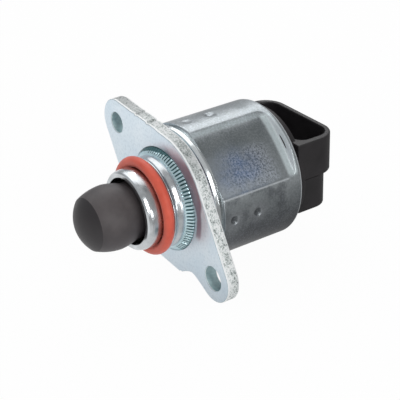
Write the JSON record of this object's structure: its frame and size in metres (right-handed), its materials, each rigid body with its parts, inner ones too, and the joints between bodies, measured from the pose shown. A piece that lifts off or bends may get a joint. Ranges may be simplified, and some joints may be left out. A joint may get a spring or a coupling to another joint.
{
  "type": "idle air control valve",
  "caption": "Stepper valve for an engine's idle air: a domed pintle in a nose sleeve with a red sealing ring, a two-ear flange, a round plated can and a black connector shroud.",
  "frame": {"origin": "centre of the flange's mounting face, on the valve's axis", "axes": "-Y along the valve's axis towards the pintle; +Z the way the connector opens; +X across"},
  "size_m": [0.0546, 0.0704, 0.0398],
  "materials": {
    "zinc_steel": "satin zinc plate",
    "can_steel": "fine speckled zinc plate",
    "bright_steel": "turned and bright",
    "bearing_steel": "ground",
    "red_rubber": "smooth",
    "dark_rubber": "smooth",
    "grey_moulding": "matte",
    "black_moulding": "satin",
    "pale_moulding": "satin",
    "magnet_ferrite": "ground",
    "brass": "turned",
    "bronze": "sintered",
    "copper_wire": "enamelled",
    "tinned_brass": "tinned",
    "spring_steel": "drawn"
  },
  "bodies": {
    "housing": {"mounting_flange": "zinc_steel", "nose_sleeve": "bright_steel", "o_ring": "red_rubber", "guide_bush": "pale_moulding", "return_spring": "spring_steel", "front_plate": "zinc_steel", "bearing_outer_race": "bearing_steel", "preload_washer": "spring_steel", "rear_bush": "bronze", "front_pole_cup": "can_steel", "front_pole_plate": "can_steel", "rear_pole_plate": "can_steel", "rear_pole_cup": "can_steel", "front_bobbin": "pale_moulding", "rear_bobbin": "pale_moulding", "front_coil": "copper_wire", "rear_coil": "copper_wire", "motor_can": "can_steel", "terminal_pin_a": "tinned_brass", "terminal_pin_b": "tinned_brass", "terminal_pin_c": "tinned_brass", "terminal_pin_d": "tinned_brass", "connector_cap": "black_moulding", "cap_seal": "dark_rubber"},
    "rotor": {"rotor_hub": "pale_moulding", "rotor_magnet": "magnet_ferrite", "thread_insert": "brass", "bearing_inner_race": "bearing_steel"},
    "plunger": {"pintle": "grey_moulding", "lead_screw": "bearing_steel"},
    "balls": {"ball_cage": "bearing_steel"}
  },
  "joints": [
    {"name": "rotor_spin", "type": "hinge", "parent": "housing", "child": "rotor", "pos_m": [0, 0.0168, 0], "axis": [0, 1, 0], "range_deg": [-1080, 1800]},
    {"name": "pintle_slide", "type": "slide", "parent": "housing", "child": "plunger", "axis": [0, 1, 0], "range_m": [-0.003, 0.005], "deforming": ["return_spring"]},
    {"name": "ball_orbit", "type": "hinge", "parent": "housing", "child": "balls", "pos_m": [0, 0.007, 0], "axis": [0, 1, 0], "range_deg": [-440, 730]}
  ],
  "couplings": [
    {"joint": "pintle_slide", "follows": "rotor_spin", "m_per_rad": 0.00015915}
  ]
}
